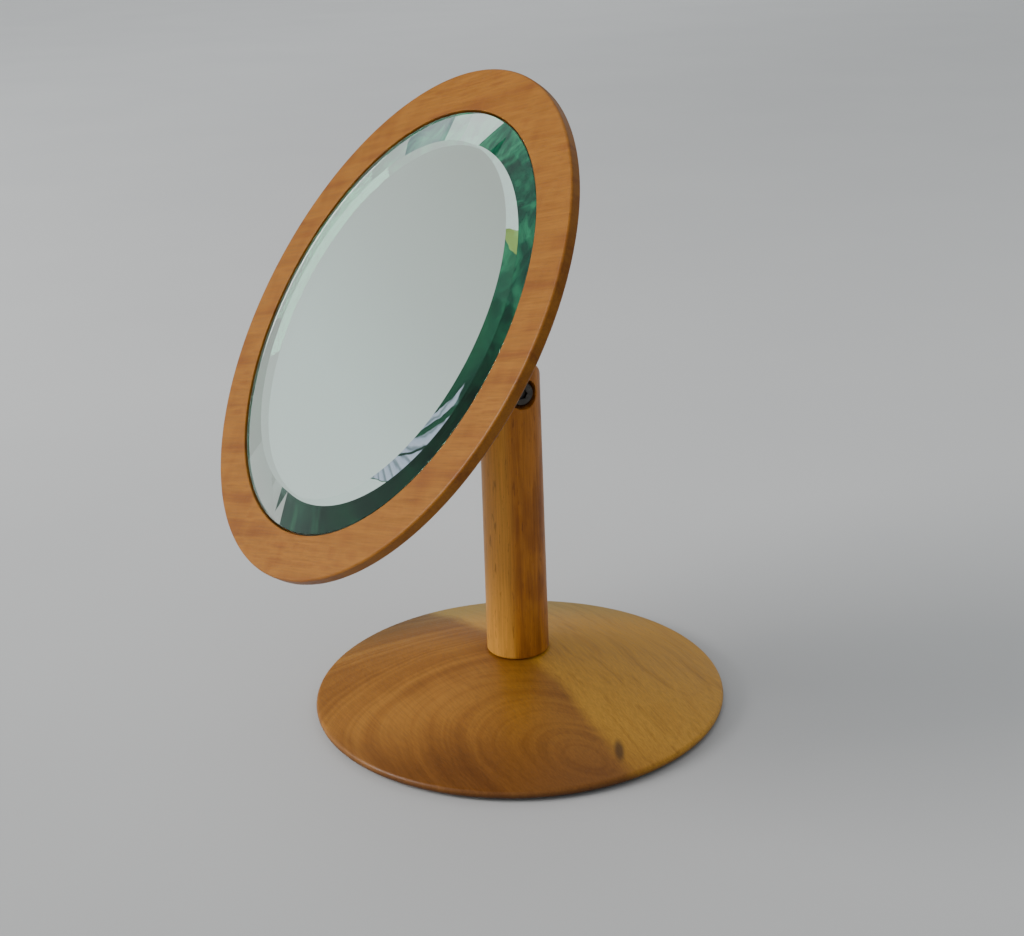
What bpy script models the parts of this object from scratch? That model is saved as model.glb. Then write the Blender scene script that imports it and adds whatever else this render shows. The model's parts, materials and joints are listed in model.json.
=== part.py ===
"""Table mirror: a round bevelled glass in a turned wooden head that tips on a turned post.

Metres, +Z up. The origin is on the table under the middle of the base. The glass faces -Y
and the head tips about a bolt that runs along X through the forked top of the post.
Head pieces are drawn in the head's own frame: its origin is the bolt, +Z comes out of the glass.
"""
import math

import bmesh
import bpy
from mathutils import Matrix

MM = 0.001
MERGE = 0.01 * MM

# ---- clearances ----------------------------------------------------------------------------
GLUE_GAP = 0.3 * MM        # glued or clamped faces
BORE_GAP = 0.3 * MM        # round the bolt and the wood screws
TENON_GAP = 0.3 * MM       # round a tenon in its mortise
GLASS_GAP = 0.8 * MM       # round the glass in its recess
BACK_STOP_GAP = 0.5 * MM   # tongue to the closed back of the fork when the glass faces up

# ---- glass ---------------------------------------------------------------------------------
GLASS_RADIUS = 100.0 * MM
GLASS_THICKNESS = 6.0 * MM
BEVEL_WIDTH = 15.0 * MM
BEVEL_DROP = 2.6 * MM
SEAM = 0.3 * MM            # ground-off arris round the glass
GLASS_PROUD = 1.8 * MM     # glass face above the frame's face
SILVER_THICKNESS = 0.4 * MM
PAD_THICKNESS = 0.8 * MM
PAD_RADIUS = 12.0 * MM
PAD_COUNT = 4
PAD_CIRCLE = 58.0 * MM     # radius of the circle that the adhesive pads lie on

# ---- head ----------------------------------------------------------------------------------
FRAME_WIDTH = 20.3 * MM    # flat face from the recess to the rim
RIM_THICKNESS = 5.0 * MM
RIM_EASE = 1.0 * MM
RECESS_EASE = 0.3 * MM
BACK_RISE = 21.0 * MM      # how far the back swells from the rim to the middle
BACK_POWER = 1.6
BACK_STATIONS = 9
STANDOFF = 77.0 * MM       # bolt axis to the frame's face
REST_TILT = 34.15          # degrees that the glass looks above the horizon

# ---- stem and its tongue -------------------------------------------------------------------
STEM_RADIUS = 14.0 * MM
STEM_EASE = 2.0 * MM
STEM_SHOULDER = 17.7 * MM  # bolt axis to the end of the round stem
STEM_TENON_RADIUS = 9.0 * MM
STEM_TENON_LENGTH = 9.0 * MM
TONGUE_THICKNESS = 7.0 * MM
TONGUE_RADIUS = 9.5 * MM
TONGUE_ROOT = 8.0 * MM     # how far the tongue's outline runs on into the round stem

# ---- base ----------------------------------------------------------------------------------
BASE_RADIUS = 100.0 * MM
BASE_HEIGHT = 26.5 * MM    # table to the post's shoulder
BASE_UNDERSIDE = 1.5 * MM
RIM_CENTRE = 3.5 * MM      # height of the widest line of the base
RIM_HALF = 2.0 * MM        # half the thickness of the base's rounded edge
LANDING_EXTRA = 1.0 * MM   # flat landing past the post's foot
FELT_RADIUS = 95.0 * MM
FELT_THICKNESS = 1.2 * MM

# ---- post ----------------------------------------------------------------------------------
POST_FOOT_RADIUS = 15.1 * MM
POST_TOP_RADIUS = 14.3 * MM
POST_FOOT_EASE = 1.2 * MM
POST_TENON_RADIUS = 10.0 * MM
POST_TENON_LENGTH = 16.0 * MM
TENON_CHAMFER = 1.0 * MM
PIVOT_HEIGHT = 159.4 * MM
EAR_PROUD = 0.2 * MM       # ear rounding past the post's own radius
SLOT_DEPTH = 16.0 * MM     # bolt axis to the floor of the fork
CHEEK_WALL = 3.2 * MM      # wood left between the fork and a counterbore

# ---- bolt and what is on it ----------------------------------------------------------------
BOLT_RADIUS = 3.0 * MM
BOLT_HEAD_RADIUS = 5.7 * MM
BOLT_HEAD_HEIGHT = 3.4 * MM
BOLT_HEAD_EASE = 0.8 * MM
SOCKET_FLATS = 4.6 * MM
SOCKET_DEPTH = 2.0 * MM
BOLT_END_PAST_NUT = 0.5 * MM
WASHER_RADIUS = 6.2 * MM
WASHER_THICKNESS = 0.8 * MM
SPRING_THICKNESS = 0.6 * MM
SPRING_CONE = 0.3 * MM
NUT_FLATS = 10.0 * MM
NUT_HEIGHT = 3.2 * MM
FRICTION_THICKNESS = 0.5 * MM
FRICTION_RADIUS = 8.5 * MM
HEAD_COUNTERBORE_GAP = 0.8 * MM
NUT_COUNTERBORE_GAP = 1.2 * MM

# ---- wood screws ---------------------------------------------------------------------------
SCREW_RADIUS = 2.0 * MM
SCREW_HEAD_RADIUS = 4.2 * MM
SCREW_HEAD_DEPTH = 2.4 * MM
SCREW_TIP = 4.0 * MM
BASE_SCREW_LENGTH = 32.0 * MM
STEM_SCREW_LENGTH = 28.0 * MM
SCREW_SUNK = 0.5 * MM

DISC_SEGMENTS = 72
POST_SEGMENTS = 48
SMALL_SEGMENTS = 28

# ---- what follows from the sizes above -----------------------------------------------------
RECESS_RADIUS = GLASS_RADIUS + GLASS_GAP
FRAME_RADIUS = RECESS_RADIUS + FRAME_WIDTH
FRAME_FACE = STANDOFF
GLASS_FACE = FRAME_FACE + GLASS_PROUD
GLASS_BACK = GLASS_FACE - GLASS_THICKNESS
SILVER_FACE = GLASS_BACK - GLUE_GAP
SILVER_BACK = SILVER_FACE - SILVER_THICKNESS
PAD_FACE = SILVER_BACK - GLUE_GAP
PAD_BACK = PAD_FACE - PAD_THICKNESS
RECESS_FLOOR = PAD_BACK - GLUE_GAP
BACK_MIDDLE = FRAME_FACE - RIM_THICKNESS - BACK_RISE
STEM_LANDING = STEM_RADIUS + LANDING_EXTRA
STEM_TOP = BACK_MIDDLE - GLUE_GAP
MORTISE_END = BACK_MIDDLE + STEM_TENON_LENGTH
BORE_RADIUS = BOLT_RADIUS + BORE_GAP
SCREW_HOLE = SCREW_RADIUS + BORE_GAP
SLOT_HALF = TONGUE_THICKNESS / 2 + FRICTION_THICKNESS + 2 * GLUE_GAP
COUNTERBORE_FLOOR = SLOT_HALF + CHEEK_WALL
WASHER_INNER = COUNTERBORE_FLOOR + GLUE_GAP
WASHER_OUTER = WASHER_INNER + WASHER_THICKNESS
BOLT_HEAD_UNDER = WASHER_OUTER + GLUE_GAP
SPRING_INNER = WASHER_OUTER + GLUE_GAP
SPRING_OUTER = SPRING_INNER + SPRING_THICKNESS + SPRING_CONE
NUT_INNER = SPRING_OUTER + GLUE_GAP
NUT_OUTER = NUT_INNER + NUT_HEIGHT
HEAD_COUNTERBORE = max(BOLT_HEAD_RADIUS, WASHER_RADIUS) + HEAD_COUNTERBORE_GAP
NUT_COUNTERBORE = NUT_FLATS / math.sqrt(3) + NUT_COUNTERBORE_GAP
POST_FOOT = BASE_HEIGHT + GLUE_GAP
TENON_END = BASE_HEIGHT - POST_TENON_LENGTH + GLUE_GAP
EAR_RADIUS = POST_TOP_RADIUS + EAR_PROUD
POST_BLANK_TOP = PIVOT_HEIGHT + EAR_RADIUS + 2 * MM
OUTLINE_REACH = 3 * POST_FOOT_RADIUS
BACK_STOP = TONGUE_RADIUS + BACK_STOP_GAP


# ---- making tools --------------------------------------------------------------------------
def clear_scene():
    for obj in list(bpy.data.objects):
        bpy.data.objects.remove(obj, do_unlink=True)


def new_collection(name):
    collection = bpy.data.collections.new(name)
    bpy.context.scene.collection.children.link(collection)
    return collection


def finish(name, colour, roughness, metallic=0.0):
    """A plain Principled material for one kind of stuff."""
    material = bpy.data.materials.new(name)
    material.use_nodes = True
    shader = material.node_tree.nodes["Principled BSDF"]
    shader.inputs["Base Color"].default_value = (*colour, 1.0)
    shader.inputs["Roughness"].default_value = roughness
    shader.inputs["Metallic"].default_value = metallic
    return material


def add_object(name, mesh, collection, material=None):
    obj = bpy.data.objects.new(name, mesh)
    collection.objects.link(obj)
    if material is not None:
        mesh.materials.append(material)
    return obj


def as_cutter(obj):
    obj.hide_render = True
    obj.display_type = "WIRE"
    return obj


def lie_along_x(obj):
    """Turns a piece drawn round Z so that its +Z end points along +X."""
    obj.rotation_euler = (0.0, math.pi / 2, 0.0)
    return obj


def turned(name, profile, collection, material=None, segments=SMALL_SEGMENTS, loop=False):
    """Turns a profile of (radius, height) points about Z. Its outer side runs top to bottom."""
    mesh = bpy.data.meshes.new(name)
    points = [(radius, 0.0, height) for radius, height in profile]
    edges = [(i, i + 1) for i in range(len(points) - 1)]
    if loop:
        edges.append((len(points) - 1, 0))
    mesh.from_pydata(points, edges, [])
    obj = add_object(name, mesh, collection, material)
    screw = obj.modifiers.new("turn", "SCREW")
    screw.axis = "Z"
    screw.angle = 2 * math.pi
    screw.steps = segments
    screw.render_steps = segments
    screw.use_merge_vertices = True
    screw.merge_threshold = MERGE
    weld = obj.modifiers.new("close_axis", "WELD")
    weld.merge_threshold = MERGE
    return obj


def rod(name, radius, start, end, collection, segments=SMALL_SEGMENTS):
    """A plain cylinder or prism along Z from start to end."""
    mesh = bpy.data.meshes.new(name)
    bm = bmesh.new()
    place = Matrix.Translation((0.0, 0.0, (start + end) / 2))
    bmesh.ops.create_cone(bm, cap_ends=True, segments=segments, radius1=radius,
                          radius2=radius, depth=end - start, matrix=place)
    bm.to_mesh(mesh)
    bm.free()
    return add_object(name, mesh, collection)


def block(name, low, high, collection):
    """A box between two corners."""
    mesh = bpy.data.meshes.new(name)
    bm = bmesh.new()
    size = [b - a for a, b in zip(low, high)]
    middle = [(a + b) / 2 for a, b in zip(low, high)]
    place = Matrix.Translation(middle) @ Matrix.Diagonal((*size, 1.0))
    bmesh.ops.create_cube(bm, size=1.0, matrix=place)
    bm.to_mesh(mesh)
    bm.free()
    return add_object(name, mesh, collection)


def plate(name, outline, thickness, collection):
    """A flat outline of (y, z) points, given its thickness along X, as a closed mesh."""
    curve = bpy.data.curves.new(name + "_outline", "CURVE")
    curve.dimensions = "2D"
    curve.fill_mode = "BOTH"
    curve.extrude = thickness / 2
    spline = curve.splines.new("POLY")
    spline.points.add(len(outline) - 1)
    for point, (y, z) in zip(spline.points, outline):
        point.co = (y, z, 0.0, 1.0)
    spline.use_cyclic_u = True
    flat = bpy.data.objects.new(name + "_outline", curve)
    collection.objects.link(flat)
    flat.rotation_euler = (math.pi / 2, 0.0, math.pi / 2)
    bpy.context.view_layer.update()
    evaluated = flat.evaluated_get(bpy.context.evaluated_depsgraph_get())
    mesh = bpy.data.meshes.new_from_object(evaluated)
    mesh.name = name
    bm = bmesh.new()
    bm.from_mesh(mesh)
    bmesh.ops.remove_doubles(bm, verts=bm.verts, dist=MERGE)
    bm.to_mesh(mesh)
    bm.free()
    solid = add_object(name, mesh, collection)
    solid.matrix_world = flat.matrix_world.copy()
    bpy.data.objects.remove(flat, do_unlink=True)
    bpy.data.curves.remove(curve)
    return solid


def combine(piece, operation, tool):
    step = piece.modifiers.new(tool.name, "BOOLEAN")
    step.operation = operation
    step.solver = "EXACT"
    step.object = tool


def arc(centre, radius, first, last, count):
    """Points on a circle, both ends included, angles in degrees."""
    angles = [math.radians(first + (last - first) * i / count) for i in range(count + 1)]
    return [(centre[0] + radius * math.cos(a), centre[1] + radius * math.sin(a)) for a in angles]


def settle(collection):
    """Applies each piece's modifiers and shades it smooth between its sharp edges."""
    bpy.context.view_layer.update()
    graph = bpy.context.evaluated_depsgraph_get()
    shaped = [(obj, bpy.data.meshes.new_from_object(obj.evaluated_get(graph)))
              for obj in collection.objects if obj.type == "MESH"]
    for obj, mesh in shaped:
        obj.modifiers.clear()
        obj.data = mesh
        mesh.name = obj.name
        mesh.shade_smooth()
        mesh.set_sharp_from_angle(angle=math.radians(30))


# ---- stand ---------------------------------------------------------------------------------
def base_profile():
    """Underside, rounded rim, shallow cone, landing, mortise and screw hole, as one loop."""
    landing = POST_FOOT_RADIUS + LANDING_EXTRA
    rim = arc((BASE_RADIUS - RIM_HALF, RIM_CENTRE), RIM_HALF, 75, -90, 7)
    mortise = POST_TENON_RADIUS + TENON_GAP
    mortise_floor = BASE_HEIGHT - POST_TENON_LENGTH
    sink = BASE_UNDERSIDE + SCREW_SUNK + SCREW_HEAD_DEPTH
    return ([(mortise, BASE_HEIGHT), (landing, BASE_HEIGHT)] + rim
            + [(SCREW_HEAD_RADIUS + BORE_GAP, BASE_UNDERSIDE),
               (SCREW_HEAD_RADIUS + BORE_GAP, BASE_UNDERSIDE + SCREW_SUNK),
               (SCREW_HOLE, sink + BORE_GAP),
               (SCREW_HOLE, mortise_floor), (mortise, mortise_floor)])


def wood_screw(name, length, collection, material):
    """A countersunk screw with its flat head at z = 0 and its point at z = length."""
    profile = [(0.0, length), (SCREW_RADIUS, length - SCREW_TIP), (SCREW_RADIUS, SCREW_HEAD_DEPTH),
               (SCREW_HEAD_RADIUS, 0.0), (0.0, 0.0)]
    return turned(name, profile, collection, material)


def make_base(parts, wood, felt, steel):
    turned("base_disc", base_profile(), parts, wood, DISC_SEGMENTS, loop=True)
    pad = [(0.0, FELT_THICKNESS), (FELT_RADIUS, FELT_THICKNESS), (FELT_RADIUS, 0.0), (0.0, 0.0)]
    turned("base_felt", pad, parts, felt, DISC_SEGMENTS)
    screw = wood_screw("base_screw", BASE_SCREW_LENGTH, parts, steel)
    screw.location.z = BASE_UNDERSIDE + SCREW_SUNK


def post_profile():
    pilot = BASE_UNDERSIDE + SCREW_SUNK + BASE_SCREW_LENGTH + BORE_GAP
    foot = arc((POST_FOOT_RADIUS - POST_FOOT_EASE, POST_FOOT + POST_FOOT_EASE),
               POST_FOOT_EASE, 0, -90, 3)
    return ([(0.0, POST_BLANK_TOP), (POST_TOP_RADIUS, POST_BLANK_TOP),
             (POST_TOP_RADIUS, PIVOT_HEIGHT)] + foot
            + [(POST_TENON_RADIUS, POST_FOOT), (POST_TENON_RADIUS, TENON_END + TENON_CHAMFER),
               (POST_TENON_RADIUS - TENON_CHAMFER, TENON_END), (SCREW_HOLE, TENON_END),
               (SCREW_HOLE, pilot), (0.0, pilot)])


def ear_outline():
    """The fork from the side: a half round on the bolt, wider than the post below it."""
    top = arc((0.0, PIVOT_HEIGHT), EAR_RADIUS, 0, 180, 24)
    return ([(-OUTLINE_REACH, -OUTLINE_REACH), (OUTLINE_REACH, -OUTLINE_REACH),
             (OUTLINE_REACH, PIVOT_HEIGHT)] + top + [(-OUTLINE_REACH, PIVOT_HEIGHT)])


def make_post(parts, cutters, wood):
    post = turned("post", post_profile(), parts, wood, POST_SEGMENTS)
    ears = as_cutter(plate("ear_rounding", ear_outline(), 2 * OUTLINE_REACH, cutters))
    combine(post, "INTERSECT", ears)
    slot = block("fork_slot", (-SLOT_HALF, -OUTLINE_REACH, PIVOT_HEIGHT - SLOT_DEPTH),
                 (SLOT_HALF, BACK_STOP, PIVOT_HEIGHT + OUTLINE_REACH), cutters)
    combine(post, "DIFFERENCE", as_cutter(slot))
    holes = (("post_bore", BORE_RADIUS, -OUTLINE_REACH, OUTLINE_REACH),
             ("head_counterbore", HEAD_COUNTERBORE, COUNTERBORE_FLOOR, OUTLINE_REACH),
             ("nut_counterbore", NUT_COUNTERBORE, -OUTLINE_REACH, -COUNTERBORE_FLOOR))
    for name, radius, start, end in holes:
        hole = lie_along_x(as_cutter(rod(name, radius, start, end, cutters)))
        hole.location.z = PIVOT_HEIGHT
        combine(post, "DIFFERENCE", hole)


def ring_profile(inner, outer, low, high):
    return [(inner, high), (outer, high), (outer, low), (inner, low)]


def make_bolt(parts, cutters, steel):
    """Bolt, washers, disc spring and nut, all on the bolt's axis."""
    head_top = BOLT_HEAD_UNDER + BOLT_HEAD_HEIGHT
    head = arc((BOLT_HEAD_RADIUS - BOLT_HEAD_EASE, head_top - BOLT_HEAD_EASE),
               BOLT_HEAD_EASE, 90, 0, 3)
    profile = ([(0.0, head_top)] + head
               + [(BOLT_HEAD_RADIUS, BOLT_HEAD_UNDER), (BOLT_RADIUS, BOLT_HEAD_UNDER),
                  (BOLT_RADIUS, -NUT_OUTER - BOLT_END_PAST_NUT),
                  (0.0, -NUT_OUTER - BOLT_END_PAST_NUT)])
    bolt = turned("pivot_bolt", profile, parts, steel)
    socket = rod("hex_socket", SOCKET_FLATS / math.sqrt(3), head_top - SOCKET_DEPTH,
                 head_top + SOCKET_DEPTH, cutters, segments=6)
    combine(bolt, "DIFFERENCE", as_cutter(socket))

    washer = ring_profile(BORE_RADIUS, WASHER_RADIUS, WASHER_INNER, WASHER_OUTER)
    head_washer = turned("head_washer", washer, parts, steel, loop=True)
    washer = ring_profile(BORE_RADIUS, WASHER_RADIUS, -WASHER_OUTER, -WASHER_INNER)
    nut_washer = turned("nut_washer", washer, parts, steel, loop=True)
    cone = [(BORE_RADIUS, -SPRING_INNER - SPRING_CONE), (WASHER_RADIUS, -SPRING_INNER),
            (WASHER_RADIUS, -SPRING_OUTER + SPRING_CONE), (BORE_RADIUS, -SPRING_OUTER)]
    spring = turned("disc_spring", cone, parts, steel, loop=True)

    nut = rod("pivot_nut", NUT_FLATS / math.sqrt(3), -NUT_OUTER, -NUT_INNER, parts, segments=6)
    nut.data.materials.append(steel)
    thread = rod("nut_thread", BORE_RADIUS, -NUT_OUTER - NUT_HEIGHT, 0.0, cutters)
    combine(nut, "DIFFERENCE", as_cutter(thread))
    for piece in (bolt, socket, head_washer, nut_washer, spring, nut, thread):
        lie_along_x(piece).location.z = PIVOT_HEIGHT


# ---- head ----------------------------------------------------------------------------------
def back_height(radius):
    """Height of the swelling back: rim plane less a rise that falls off as a power of radius."""
    share = 1 - (radius / FRAME_RADIUS) ** BACK_POWER
    return FRAME_FACE - RIM_THICKNESS - BACK_RISE * share


def frame_profile():
    """Recess, flat face, thin rim, swelling back and mortise of the wooden head, as one loop."""
    sink = SCREW_HEAD_DEPTH + SCREW_SUNK
    rim_back = FRAME_FACE - RIM_THICKNESS
    stations = [STEM_LANDING + (FRAME_RADIUS - RIM_EASE - STEM_LANDING) * i / BACK_STATIONS
                for i in range(BACK_STATIONS, 0, -1)]
    mortise = STEM_TENON_RADIUS + TENON_GAP
    return ([(SCREW_HEAD_RADIUS + BORE_GAP, RECESS_FLOOR), (RECESS_RADIUS, RECESS_FLOOR),
             (RECESS_RADIUS, FRAME_FACE - RECESS_EASE), (RECESS_RADIUS + RECESS_EASE, FRAME_FACE)]
            + arc((FRAME_RADIUS - RIM_EASE, FRAME_FACE - RIM_EASE), RIM_EASE, 90, 0, 3)
            + [(FRAME_RADIUS, rim_back + RIM_EASE)]
            + [(radius, back_height(radius)) for radius in stations]
            + [(STEM_LANDING, BACK_MIDDLE), (mortise, BACK_MIDDLE), (mortise, MORTISE_END),
               (SCREW_HOLE, MORTISE_END), (SCREW_HOLE, RECESS_FLOOR - sink - BORE_GAP),
               (SCREW_HEAD_RADIUS + BORE_GAP, RECESS_FLOOR - SCREW_SUNK)])


def stem_profile():
    tenon_top = MORTISE_END - GLUE_GAP
    pilot = RECESS_FLOOR - SCREW_SUNK - STEM_SCREW_LENGTH - BORE_GAP
    foot = arc((STEM_RADIUS - STEM_EASE, STEM_SHOULDER + STEM_EASE), STEM_EASE, 0, -90, 4)
    return ([(0.0, pilot), (SCREW_HOLE, pilot), (SCREW_HOLE, tenon_top),
             (STEM_TENON_RADIUS - TENON_CHAMFER, tenon_top),
             (STEM_TENON_RADIUS, tenon_top - TENON_CHAMFER), (STEM_TENON_RADIUS, STEM_TOP),
             (STEM_RADIUS, STEM_TOP)] + foot + [(0.0, STEM_SHOULDER)])


def make_stem(parts, cutters, wood):
    stem = turned("head_stem", stem_profile(), parts, wood, POST_SEGMENTS)
    root = STEM_SHOULDER + TONGUE_ROOT
    outline = ([(TONGUE_RADIUS, root), (-TONGUE_RADIUS, root)]
               + arc((0.0, 0.0), TONGUE_RADIUS, 180, 360, 16))
    tongue = as_cutter(plate("tongue", outline, TONGUE_THICKNESS, cutters))
    combine(stem, "UNION", tongue)
    bore = rod("tongue_bore", BORE_RADIUS, -OUTLINE_REACH, OUTLINE_REACH, cutters)
    lie_along_x(as_cutter(bore))
    combine(stem, "DIFFERENCE", bore)
    return [stem, tongue, bore]


def make_friction_washers(parts, fibre):
    washers = []
    for side, name in ((1, "friction_washer_right"), (-1, "friction_washer_left")):
        near = side * (TONGUE_THICKNESS / 2 + GLUE_GAP)
        far = near + side * FRICTION_THICKNESS
        profile = ring_profile(BORE_RADIUS, FRICTION_RADIUS, min(near, far), max(near, far))
        washers.append(lie_along_x(turned(name, profile, parts, fibre, loop=True)))
    return washers


def glass_profile():
    edge = GLASS_RADIUS
    bevel_foot = GLASS_FACE - BEVEL_DROP
    return [(0.0, GLASS_FACE), (edge - BEVEL_WIDTH, GLASS_FACE), (edge - SEAM, bevel_foot),
            (edge, bevel_foot - SEAM), (edge, GLASS_BACK + SEAM), (edge - SEAM, GLASS_BACK),
            (0.0, GLASS_BACK)]


def make_glass(parts, glass, silver, mastic):
    """Bevelled glass, its silvered back and the adhesive pads that hold it in the recess."""
    pieces = [turned("mirror_glass", glass_profile(), parts, glass, DISC_SEGMENTS)]
    radius = GLASS_RADIUS - SEAM
    coat = [(0.0, SILVER_FACE), (radius, SILVER_FACE), (radius, SILVER_BACK), (0.0, SILVER_BACK)]
    pieces.append(turned("mirror_silvering", coat, parts, silver, DISC_SEGMENTS))
    pad = [(0.0, PAD_FACE), (PAD_RADIUS, PAD_FACE), (PAD_RADIUS, PAD_BACK), (0.0, PAD_BACK)]
    for number in range(PAD_COUNT):
        angle = 2 * math.pi * (number + 0.5) / PAD_COUNT
        piece = turned(f"adhesive_pad_{number + 1}", pad, parts, mastic)
        piece.location = (PAD_CIRCLE * math.cos(angle), PAD_CIRCLE * math.sin(angle), 0.0)
        pieces.append(piece)
    return pieces


def make_head(parts, cutters, wood, glass, silver, mastic, steel, fibre):
    """Everything that tips: built about the bolt, then turned to the rest tilt."""
    pieces = [turned("mirror_frame", frame_profile(), parts, wood, DISC_SEGMENTS, loop=True)]
    pieces += make_stem(parts, cutters, wood)
    pieces += make_friction_washers(parts, fibre)
    pieces += make_glass(parts, glass, silver, mastic)
    screw = wood_screw("stem_screw", STEM_SCREW_LENGTH, parts, steel)
    screw.rotation_euler.x = math.pi
    screw.location.z = RECESS_FLOOR - SCREW_SUNK
    pieces.append(screw)
    pivot = bpy.data.objects.new("head_pivot", None)
    parts.objects.link(pivot)
    for piece in pieces:
        piece.parent = pivot
    pivot.location.z = PIVOT_HEIGHT
    pivot.rotation_euler.x = math.radians(90 - REST_TILT)


def main():
    clear_scene()
    parts = new_collection("table_mirror")
    cutters = new_collection("table_mirror_cutters")
    wood = finish("oiled_wood", (0.42, 0.20, 0.055), 0.42)
    glass = finish("bevelled_glass", (0.62, 0.75, 0.68), 0.03)
    silver = finish("silver_coat", (0.85, 0.87, 0.86), 0.08, metallic=1.0)
    mastic = finish("mirror_mastic", (0.55, 0.54, 0.50), 0.8)
    steel = finish("bright_steel", (0.60, 0.59, 0.57), 0.3, metallic=1.0)
    fibre = finish("fibre", (0.05, 0.04, 0.035), 0.7)
    felt = finish("green_baize", (0.02, 0.07, 0.04), 0.95)
    make_base(parts, wood, felt, steel)
    make_post(parts, cutters, wood)
    make_bolt(parts, cutters, steel)
    make_head(parts, cutters, wood, glass, silver, mastic, steel, fibre)
    settle(parts)


main()
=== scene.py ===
import json
import math

import bpy
import numpy as np
from mathutils import Matrix, Vector


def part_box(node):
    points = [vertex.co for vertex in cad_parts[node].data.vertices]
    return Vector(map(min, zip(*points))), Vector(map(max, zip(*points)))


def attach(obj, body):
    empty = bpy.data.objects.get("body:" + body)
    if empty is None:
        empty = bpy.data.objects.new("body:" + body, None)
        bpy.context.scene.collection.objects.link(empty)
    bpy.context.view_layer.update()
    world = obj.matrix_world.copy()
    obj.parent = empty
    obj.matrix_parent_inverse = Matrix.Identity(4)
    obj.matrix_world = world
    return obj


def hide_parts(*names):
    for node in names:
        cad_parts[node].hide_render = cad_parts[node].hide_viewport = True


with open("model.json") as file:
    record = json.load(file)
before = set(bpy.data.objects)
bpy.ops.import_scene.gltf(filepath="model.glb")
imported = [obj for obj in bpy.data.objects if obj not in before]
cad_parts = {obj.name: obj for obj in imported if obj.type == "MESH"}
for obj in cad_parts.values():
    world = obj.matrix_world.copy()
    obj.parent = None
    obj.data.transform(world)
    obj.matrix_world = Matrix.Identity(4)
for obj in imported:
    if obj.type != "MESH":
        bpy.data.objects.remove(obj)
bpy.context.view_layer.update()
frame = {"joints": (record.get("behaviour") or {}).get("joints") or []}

MM = 0.001
TURN = 2 * math.pi


# ---- places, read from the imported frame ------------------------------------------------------
def middle(node):
    """Middle of a piece's box."""
    low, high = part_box(node)
    return np.array((low + high) / 2)


def half_width(node):
    """Half of a round piece's size along X, which is its radius."""
    low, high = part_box(node)
    return (high.x - low.x) / 2


PIVOT = np.array(frame["joints"][0]["pos_m"])
ACROSS = np.array([1.0, 0.0, 0.0])
SILVER_MIDDLE = middle("mirror_silvering")
FACING = (SILVER_MIDDLE - PIVOT) / np.linalg.norm(SILVER_MIDDLE - PIVOT)
UPHILL = np.cross(FACING, ACROSS)
HEAD_AXES = np.array([ACROSS, UPHILL, FACING])      # rows: the head's own x, y and z
STAND_AXES = np.eye(3)
BOLT_AXES = np.array([[0.0, 0.0, -1.0], [0.0, 1.0, 0.0], [1.0, 0.0, 0.0]])
TABLE = np.zeros(3)

FRAME_RADIUS = half_width("mirror_frame")
GLASS_RADIUS = half_width("mirror_glass")
BASE_RADIUS = half_width("base_disc")
BASE_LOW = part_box("base_disc")[0].z
BASE_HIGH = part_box("base_disc")[1].z
FELT_RADIUS = half_width("base_felt")
FELT_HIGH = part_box("base_felt")[1].z
POST_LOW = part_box("post")[0].z
POST_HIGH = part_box("post")[1].z
EAR_RADIUS = POST_HIGH - PIVOT[2]


# ---- mesh tools ------------------------------------------------------------------------------
def mesh_piece(name, points, quads, triangles, sharp_angle=32.0):
    """A smooth-shaded object from whole arrays of points, four-sided and three-sided faces."""
    mesh = bpy.data.meshes.new(name)
    corners = np.concatenate([np.ravel(quads), np.ravel(triangles)]).astype(np.int32)
    starts = np.concatenate([4 * np.arange(len(quads)),
                             4 * len(quads) + 3 * np.arange(len(triangles))]).astype(np.int32)
    mesh.vertices.add(len(points))
    mesh.vertices.foreach_set("co", np.ravel(points).astype(np.float32))
    mesh.loops.add(len(corners))
    mesh.loops.foreach_set("vertex_index", corners)
    mesh.polygons.add(len(starts))
    mesh.polygons.foreach_set("loop_start", starts)
    mesh.update(calc_edges=True)
    mesh.validate()
    mesh.shade_smooth()
    mesh.set_sharp_from_angle(angle=math.radians(sharp_angle))
    piece = bpy.data.objects.new(name, mesh)
    bpy.context.scene.collection.objects.link(piece)
    return piece


def placed(points, axes, origin):
    """Points drawn in a piece's own x, y, z rows of axes, moved to its origin."""
    return points @ axes + origin


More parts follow.
